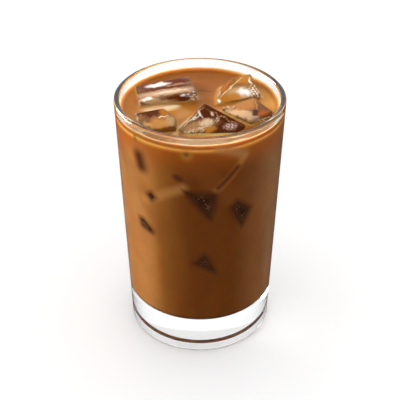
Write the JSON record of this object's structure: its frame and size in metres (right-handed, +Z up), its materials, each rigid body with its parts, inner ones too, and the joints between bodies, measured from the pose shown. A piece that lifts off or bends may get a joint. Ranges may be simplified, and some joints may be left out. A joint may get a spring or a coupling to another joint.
{
  "type": "iced coffee in a glass",
  "caption": "Tall tapered tumbler with a thick clear base, filled near its rim with milky iced coffee and floating ice.",
  "frame": {"origin": "middle of the ring that the glass stands on, at the bottom of the object", "axes": "+Z up along the glass's axis; -Y towards the front, where the front ice lies; +X to the right"},
  "size_m": [0.085, 0.085, 0.134],
  "materials": {
    "clear_glass": "clear soda-lime glass, smooth, fire-polished rim",
    "milky_coffee": "opaque milky coffee, wet gloss",
    "ice": "clear ice with a cloudy middle, wet"
  },
  "bodies": {
    "root": {"glass": "clear_glass", "coffee": "milky_coffee", "ice_back_left": "ice", "ice_front_left": "ice", "ice_middle": "ice", "ice_back_right": "ice", "ice_right": "ice"}
  },
  "joints": []
}
